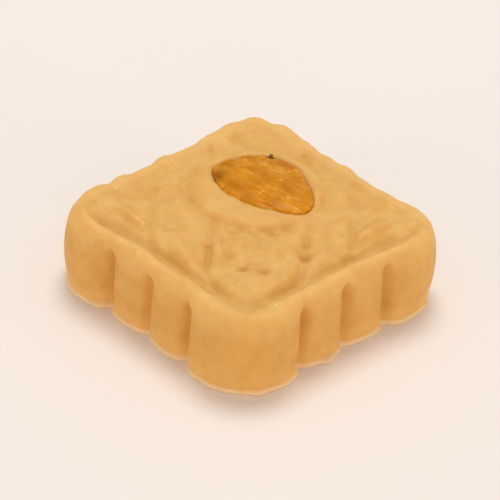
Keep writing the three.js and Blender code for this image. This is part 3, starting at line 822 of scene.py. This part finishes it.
# The rim and the shoulder, the outermost part of the upper face, are painted paler. This is
# painted light for the light they catch.
RIM_PAINTED_LIGHT_SHARE = 0.28
RIM_PAINTED_LIGHT_REACH = (17.8, 19.4)
RIM_PAINTED_LIGHT_LEVELS = (8.6, 11.4)
across_sides = add_node(
    tree, "ShaderNodeMath", {"operation": "ABSOLUTE"}, {0: point.outputs["X"]}
)
along_sides = add_node(
    tree, "ShaderNodeMath", {"operation": "ABSOLUTE"}, {0: point.outputs["Y"]}
)
reach_of_point = add_node(
    tree,
    "ShaderNodeMath",
    {"operation": "MAXIMUM"},
    {0: across_sides.outputs["Value"], 1: along_sides.outputs["Value"]},
)
outermost = add_node(
    tree,
    "ShaderNodeMapRange",
    {
        "interpolation_type": "SMOOTHSTEP",
        "From Min": RIM_PAINTED_LIGHT_REACH[0] * MM,
        "From Max": RIM_PAINTED_LIGHT_REACH[1] * MM,
        "To Max": RIM_PAINTED_LIGHT_SHARE,
    },
    {"Value": reach_of_point.outputs["Value"]},
)
upper_face = add_node(
    tree,
    "ShaderNodeMapRange",
    {
        "interpolation_type": "SMOOTHSTEP",
        "From Min": RIM_PAINTED_LIGHT_LEVELS[0] * MM,
        "From Max": RIM_PAINTED_LIGHT_LEVELS[1] * MM,
    },
    {"Value": point.outputs["Z"]},
)
rim_share = add_node(
    tree,
    "ShaderNodeMath",
    {"operation": "MULTIPLY"},
    {0: outermost.outputs["Result"], 1: upper_face.outputs["Result"]},
)
rim_painted_light = add_node(
    tree,
    "ShaderNodeMixRGB",
    {"Color2": linear(PAINTED_LIGHT_TAN)},
    {"Fac": rim_share.outputs["Value"], "Color1": colour.outputs["Color"]},
)
# The groove and the cuts of the picture are painted deeper in colour. This is painted shade for
# the shade that falls in these low recesses inside the rim.
RECESS_SHADE_SHARE = 0.4
RECESS_SHADE_REACH = (18.4, 20.0)
RECESS_SHADE_LEVELS = (11.8, 12.6)
inner_face = add_node(
    tree,
    "ShaderNodeMapRange",
    {
        "From Min": RECESS_SHADE_REACH[0] * MM,
        "From Max": RECESS_SHADE_REACH[1] * MM,
        "To Min": RECESS_SHADE_SHARE,
        "To Max": 0.0,
    },
    {"Value": reach_of_point.outputs["Value"]},
)
low_face = add_node(
    tree,
    "ShaderNodeMapRange",
    {
        "interpolation_type": "SMOOTHSTEP",
        "From Min": RECESS_SHADE_LEVELS[0] * MM,
        "From Max": RECESS_SHADE_LEVELS[1] * MM,
        "To Min": 1.0,
        "To Max": 0.0,
    },
    {"Value": point.outputs["Z"]},
)
recess_share = add_node(
    tree,
    "ShaderNodeMath",
    {"operation": "MULTIPLY"},
    {0: inner_face.outputs["Result"], 1: low_face.outputs["Result"]},
)
recess_shaded = add_node(
    tree,
    "ShaderNodeMixRGB",
    {"Color2": linear(RECESS_PAINTED_SHADE)},
    {"Fac": recess_share.outputs["Value"], "Color1": rim_painted_light.outputs["Color"]},
)
tree.links.new(recess_shaded.outputs["Color"], shader.inputs["Base Color"])
fine_grain = add_node(
    tree,
    "ShaderNodeTexNoise",
    {"Scale": 1 / (FINE_GRAIN_SIZE * MM), "Detail": 3.0, "Roughness": 0.65},
    {"Vector": where},
)
grain_bump = add_node(
    tree,
    "ShaderNodeBump",
    {"Strength": FINE_GRAIN_STRENGTH, "Distance": FINE_GRAIN_DEPTH * MM},
    {"Height": fine_grain.outputs["Fac"]},
)
tree.links.new(grain_bump.outputs["Normal"], shader.inputs["Normal"])
grain_gloss = add_node(
    tree,
    "ShaderNodeMapRange",
    {
        "From Min": 0.3,
        "From Max": 0.7,
        "To Min": PASTE_ROUGHNESS[0],
        "To Max": PASTE_ROUGHNESS[1],
    },
    {"Value": fine_grain.outputs["Fac"]},
)
tree.links.new(grain_gloss.outputs["Result"], shader.inputs["Roughness"])
paste_body.data.materials.append(paste)

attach(paste_body, "root")
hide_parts("sandesh")

# ==== The golden raisin =========================================================================
# A seedless grape dried golden and soaked soft, pushed flat into the boss until it sits flush. Its
# skin is thin, amber and half clear, with fine wrinkles that run from tip to tip.

RAISIN_STATIONS = 150
RAISIN_SPOKES = 220
SOCKET_GAP = 0.15
along = -np.cos(np.linspace(0.0, math.pi, RAISIN_STATIONS + 1))[1:-1]
angle = np.arange(RAISIN_SPOKES) * 2 * math.pi / RAISIN_SPOKES
place, turn = np.meshgrid(along, angle, indexing="ij")
middle, half_width = raisin_section(place)
inset = 1.0 - place**2
tall = np.where(np.sin(turn) > 0, RAISIN_CROWN, RAISIN_DEPTH - SOCKET_GAP) * inset**RAISIN_FLAT
raisin_x = place * RAISIN_LENGTH / 2
raisin_y = middle + half_width * np.cos(turn)
raisin_z = RAISIN_WAIST + tall * np.sin(turn)
skin = np.stack([raisin_x, raisin_y, raisin_z], axis=-1)

# Wrinkles: fine ridges that wander from tip to tip, and a few broad soft folds. Both fade out
# towards the waist and the tips.
WRINKLE_SPACING = 1.0
WRINKLE_RISE = 0.26
WRINKLE_SHARPNESS = 2.4
WRINKLE_WAIST_FADE = (0.0, 0.5)
WRINKLE_TIP_FADE = (0.0, 0.25)
WRINKLE_SEED = 42
FOLD_SPACING = 2.4
FOLD_RISE = 0.16
FOLD_STRETCH = 4.0
FOLD_SEED = 43
DRIFT = 1.2
DRIFT_LENGTH = 5.0
DRIFT_SEED = 41
drift = DRIFT * lumps(skin, DRIFT_LENGTH, DRIFT_SEED)
fold_place = np.stack(
    [skin[..., 0] / FOLD_STRETCH, skin[..., 1] + drift, skin[..., 2] * 0.0], axis=-1
)
from_ridge = np.abs(lumps(fold_place, WRINKLE_SPACING, WRINKLE_SEED))
ridges = np.maximum(1.0 - WRINKLE_SHARPNESS * from_ridge, 0.0) ** 2
broad = lumps(fold_place, FOLD_SPACING, FOLD_SEED)
top_side = ramp(np.sin(turn), *WRINKLE_WAIST_FADE) * ramp(inset, *WRINKLE_TIP_FADE)
skin[..., 2] += top_side * (WRINKLE_RISE * ridges + FOLD_RISE * broad)
skin = skin.reshape(-1, 3)

# The stub of its stalk stands up between the skin and the paste.
STALK_FOOT = np.array([-4.0, 5.7, 13.0])
STALK_TOP = np.array([-4.05, 6.05, 13.95])
STALK_RADIUS = 0.36
STALK_CLOSING = 0.95
STALK_ROUNDNESS = 8
STALK_RINGS = 7
STALK_SPOKES = 12
tips = np.array([[end * RAISIN_LENGTH / 2, RAISIN_CHORD, RAISIN_WAIST] for end in (-1, 1)])
stalk = []
for share in np.linspace(0.0, 1.0, STALK_RINGS):
    radius = STALK_RADIUS * math.sqrt(1.0 - STALK_CLOSING * share**STALK_ROUNDNESS)
    centre = mix(STALK_FOOT, STALK_TOP, share)
    for spoke in range(STALK_SPOKES):
        around = 2 * math.pi * spoke / STALK_SPOKES
        stalk.append(centre + [radius * math.cos(around), radius * math.sin(around), 0.0])
stalk.append(STALK_TOP)
stalk_start = len(skin) + len(tips)
skin = np.concatenate([skin, tips, stalk])
whole_turn = RAISIN_TURN + math.pi / 4


def from_raisin_frame(places):
    """The places in the piece of points given along, across and above the raisin."""
    cosine, sine = math.cos(whole_turn), math.sin(whole_turn)
    centre_x = (RAISIN_RIGHT - RAISIN_BACK) / ROOT_2
    centre_y = (RAISIN_RIGHT + RAISIN_BACK) / ROOT_2
    x = centre_x + cosine * places[..., 0] - sine * places[..., 1]
    y = centre_y + sine * places[..., 0] + cosine * places[..., 1]
    return np.stack([x, y, places[..., 2]], axis=-1)


def band(near, far, spokes):
    """Quads between two rings whose points are numbered on from near and from far."""
    nexts = [(spoke + 1) % spokes for spoke in range(spokes)]
    return [(near + a, near + b, far + b, far + a) for a, b in enumerate(nexts)]


skin = from_raisin_frame(skin)
faces = []
last_row = (RAISIN_STATIONS - 2) * RAISIN_SPOKES
for near in range(0, last_row, RAISIN_SPOKES):
    faces += band(near, near + RAISIN_SPOKES, RAISIN_SPOKES)
first_tip = last_row + RAISIN_SPOKES
last_tip = first_tip + 1
for spoke in range(RAISIN_SPOKES):
    after = (spoke + 1) % RAISIN_SPOKES
    faces.append((first_tip, after, spoke))
    faces.append((last_tip, last_row + spoke, last_row + after))
last_ring = stalk_start + (STALK_RINGS - 1) * STALK_SPOKES
for near in range(stalk_start, last_ring, STALK_SPOKES):
    faces += band(near, near + STALK_SPOKES, STALK_SPOKES)
for spoke in range(STALK_SPOKES):
    after = (spoke + 1) % STALK_SPOKES
    faces.append((last_ring + spoke, last_ring + after, len(skin) - 1))
faces.append(tuple(stalk_start + spoke for spoke in reversed(range(STALK_SPOKES))))
stalk_place = skin[stalk_start:-1].mean(axis=0)
raisin = new_piece("golden_raisin", skin, faces)

# Soaked golden raisin: amber and half clear, so light glows inside it and its hollows look darker.
# The skin has a soft wet gloss that breaks up on the wrinkles. Pale streaks that run lengthwise in
# patches are painted highlights; one dark end is partly darker skin and partly painted shade where
# the skin meets the paste; and the stub of the stalk is brown.
AMBER = "CC8413"
DEEP_AMBER = "B9750C"
CLEAR_AMBER = "D9921E"
FLESH_PATCH = 3.6
FLESH_STOPS = (0.3, 0.7)
FLESH_GLOW_DEPTH = 1.5
STREAK_PAINTED_HIGHLIGHT = "F2BE62"
STREAK_SPACING = 1.15
STREAK_STRETCH = 4.0
STREAK_STOPS = (0.47, 0.53)
STREAK_STRENGTH = 0.6
UNSTREAKED = (0.0, 0.0, 0.0, 1.0)
DARK_END_AND_PAINTED_SHADE = "8A4A08"
DARK_PLACE = np.array([-6.4, -3.6, 13.2])  # along, across and above the raisin
DARK_FADE = (0.3, 2.4)
DARK_STRENGTH = 0.75
STALK_BROWN = "8A5F1E"
STALK_FADE = (0.75, 0.9)
raisin_skin = bpy.data.materials.new("soaked_golden_raisin_skin")
raisin_skin.use_nodes = True
tree = raisin_skin.node_tree
shader = tree.nodes["Principled BSDF"]
shader.inputs["Roughness"].default_value = 0.3
shader.inputs["IOR"].default_value = 1.4
shader.inputs["Specular IOR Level"].default_value = 0.1
shader.inputs["Subsurface Weight"].default_value = 0.5
shader.inputs["Subsurface Radius"].default_value = (1.0, 0.45, 0.08)
shader.inputs["Subsurface Scale"].default_value = FLESH_GLOW_DEPTH * MM
where = add_node(tree, "ShaderNodeTexCoord").outputs["Object"]
flesh = add_node(
    tree,
    "ShaderNodeTexNoise",
    {"Scale": 1 / (FLESH_PATCH * MM), "Detail": 4.0, "Roughness": 0.6},
    {"Vector": where},
)
flesh_colour = add_node(tree, "ShaderNodeValToRGB", {}, {"Fac": flesh.outputs["Fac"]})
stops = flesh_colour.color_ramp.elements
stops[0].position, stops[0].color = FLESH_STOPS[0], linear(DEEP_AMBER)
stops[1].position, stops[1].color = FLESH_STOPS[1], linear(CLEAR_AMBER)
stops.new(0.5).color = linear(AMBER)
# Painted highlights: thin pale streaks along the raisin, in patches, stand in for glints on its
# wrinkles.
lengthwise = add_node(
    tree,
    "ShaderNodeMapping",
    {
        "vector_type": "TEXTURE",
        "Rotation": (0.0, 0.0, whole_turn),
        "Scale": (STREAK_STRETCH, 1.0, 1.0),
    },
    {"Vector": where},
)
streak = add_node(
    tree,
    "ShaderNodeTexNoise",
    {"Scale": 1 / (STREAK_SPACING * MM), "Detail": 1.0, "Roughness": 0.5},
    {"Vector": lengthwise.outputs["Vector"]},
)
streak_line = add_node(tree, "ShaderNodeValToRGB", {}, {"Fac": streak.outputs["Fac"]})
stops = streak_line.color_ramp.elements
stops[0].position, stops[0].color = STREAK_STOPS[0], UNSTREAKED
stops[1].position, stops[1].color = STREAK_STOPS[1], UNSTREAKED
stops.new(0.5).color = (STREAK_STRENGTH, STREAK_STRENGTH, STREAK_STRENGTH, 1.0)
streak_patch = add_node(
    tree,
    "ShaderNodeMapRange",
    {"From Min": 0.43, "From Max": 0.55},
    {"Value": flesh.outputs["Fac"]},
)
streak_share = add_node(
    tree,
    "ShaderNodeMath",
    {"operation": "MULTIPLY"},
    {0: streak_line.outputs["Color"], 1: streak_patch.outputs["Result"]},
)
glint_streaked = add_node(
    tree,
    "ShaderNodeMixRGB",
    {"Color2": linear(STREAK_PAINTED_HIGHLIGHT)},
    {"Fac": streak_share.outputs["Value"], "Color1": flesh_colour.outputs["Color"]},
)
# A darker left end, low on the near side: partly darker skin and partly painted shade where the
# skin meets the paste.
from_end = add_node(tree, "ShaderNodeVectorMath", {"operation": "DISTANCE"}, {0: where})
from_end.inputs[1].default_value = from_raisin_frame(DARK_PLACE) * MM
end_share = add_node(
    tree,
    "ShaderNodeMapRange",
    {
        "interpolation_type": "SMOOTHSTEP",
        "From Min": DARK_FADE[0] * MM,
        "From Max": DARK_FADE[1] * MM,
        "To Min": DARK_STRENGTH,
        "To Max": 0.0,
    },
    {"Value": from_end.outputs["Value"]},
)
end_darkened_and_shaded = add_node(
    tree,
    "ShaderNodeMixRGB",
    {"Color2": linear(DARK_END_AND_PAINTED_SHADE)},
    {"Fac": end_share.outputs["Result"], "Color1": glint_streaked.outputs["Color"]},
)
from_stalk = add_node(tree, "ShaderNodeVectorMath", {"operation": "DISTANCE"}, {0: where})
from_stalk.inputs[1].default_value = stalk_place * MM
stalk_share = add_node(
    tree,
    "ShaderNodeMapRange",
    {
        "From Min": STALK_FADE[0] * MM,
        "From Max": STALK_FADE[1] * MM,
        "To Min": 1.0,
        "To Max": 0.0,
    },
    {"Value": from_stalk.outputs["Value"]},
)
with_stalk = add_node(
    tree,
    "ShaderNodeMixRGB",
    {"Color2": linear(STALK_BROWN)},
    {"Fac": stalk_share.outputs["Result"], "Color1": end_darkened_and_shaded.outputs["Color"]},
)
tree.links.new(with_stalk.outputs["Color"], shader.inputs["Base Color"])
raisin.data.materials.append(raisin_skin)

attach(raisin, "root")
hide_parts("raisin")

# ==== The table, the light and the camera =======================================================
# A plain pale floor in a plain pale room, one soft lamp high behind the piece, and three weak warm
# ones low before it, which lift its two front walls.

FLOOR_HALF = 1500.0
FLOOR_COLOUR = "EFE6DE"
floor_corners = FLOOR_HALF * np.array([(-1, -1, 0), (1, -1, 0), (1, 1, 0), (-1, 1, 0)])
floor = new_piece("floor", floor_corners, [(0, 1, 2, 3)])
floor_finish = bpy.data.materials.new("pale_floor")
floor_finish.use_nodes = True
shader = floor_finish.node_tree.nodes["Principled BSDF"]
shader.inputs["Base Color"].default_value = linear(FLOOR_COLOUR)
shader.inputs["Roughness"].default_value = 0.5
floor.data.materials.append(floor_finish)
floor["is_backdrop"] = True

WHITE = "FFFFFF"
WARM = "FFD6B4"
ROOM_STRENGTH = 0.54
scene = bpy.context.scene
scene.view_settings.view_transform = "Standard"
scene.world = bpy.data.worlds.new("room")
scene.world.use_nodes = True
background = scene.world.node_tree.nodes["Background"]
background.inputs["Color"].default_value = linear(WHITE)
background.inputs["Strength"].default_value = ROOM_STRENGTH

LAMP_DISTANCE = 0.9  # metres, as is the size of a lamp
LAMPS = [  # name, azimuth and elevation in degrees, size, watts, colour
    ("key_lamp", 226.0, 70.0, 0.45, 4.0, WHITE),
    ("left_lamp", -10.0, 10.0, 0.5, 1.9, WARM),
    ("right_lamp", 106.0, 10.0, 0.5, 2.1, WARM),
    ("front_lamp", 50.0, 8.0, 0.5, 0.9, WARM),
]


def toward(azimuth, elevation):
    """The direction from the object to a viewer at these angles in degrees."""
    azimuth, elevation = math.radians(azimuth), math.radians(elevation)
    return Vector((
        math.sin(azimuth) * math.cos(elevation),
        -math.cos(azimuth) * math.cos(elevation),
        math.sin(elevation),
    ))


for name, azimuth, elevation, size, power, hex_value in LAMPS:
    lamp = bpy.data.lights.new(name, "AREA")
    lamp.shape = "DISK"
    lamp.size = size
    lamp.energy = power
    lamp.color = linear(hex_value)[:3]
    lamp_object = bpy.data.objects.new(name, lamp)
    direction = toward(azimuth, elevation)
    lamp_object.location = direction * LAMP_DISTANCE
    lamp_object.rotation_euler = direction.to_track_quat("Z", "Y").to_euler()
    scene.collection.objects.link(lamp_object)

# The camera looks from straight before the front corner. Its roll gives the small lean with which
# the real piece lies.
CAMERA_AZIMUTH = 45.0
CAMERA_ELEVATION = 35.4
CAMERA_DISTANCE = 0.541
CAMERA_ROLL = 3.4
CAMERA_LENS = 257.0
CAMERA_SENSOR = 36.0
LOOK_AT = Vector((0.0, 0.0, 6.5 * MM))
camera_data = bpy.data.cameras.new("camera")
camera_data.sensor_width = CAMERA_SENSOR
camera_data.lens = CAMERA_LENS
camera = bpy.data.objects.new("camera", camera_data)
scene.collection.objects.link(camera)
view_direction = toward(CAMERA_AZIMUTH, CAMERA_ELEVATION)
camera.location = LOOK_AT + view_direction * CAMERA_DISTANCE
level_view = view_direction.to_track_quat("Z", "Y").to_matrix()
roll = Matrix.Rotation(math.radians(CAMERA_ROLL), 3, "Z")
camera.rotation_euler = (level_view @ roll).to_euler()
scene.camera = camera

low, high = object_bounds()
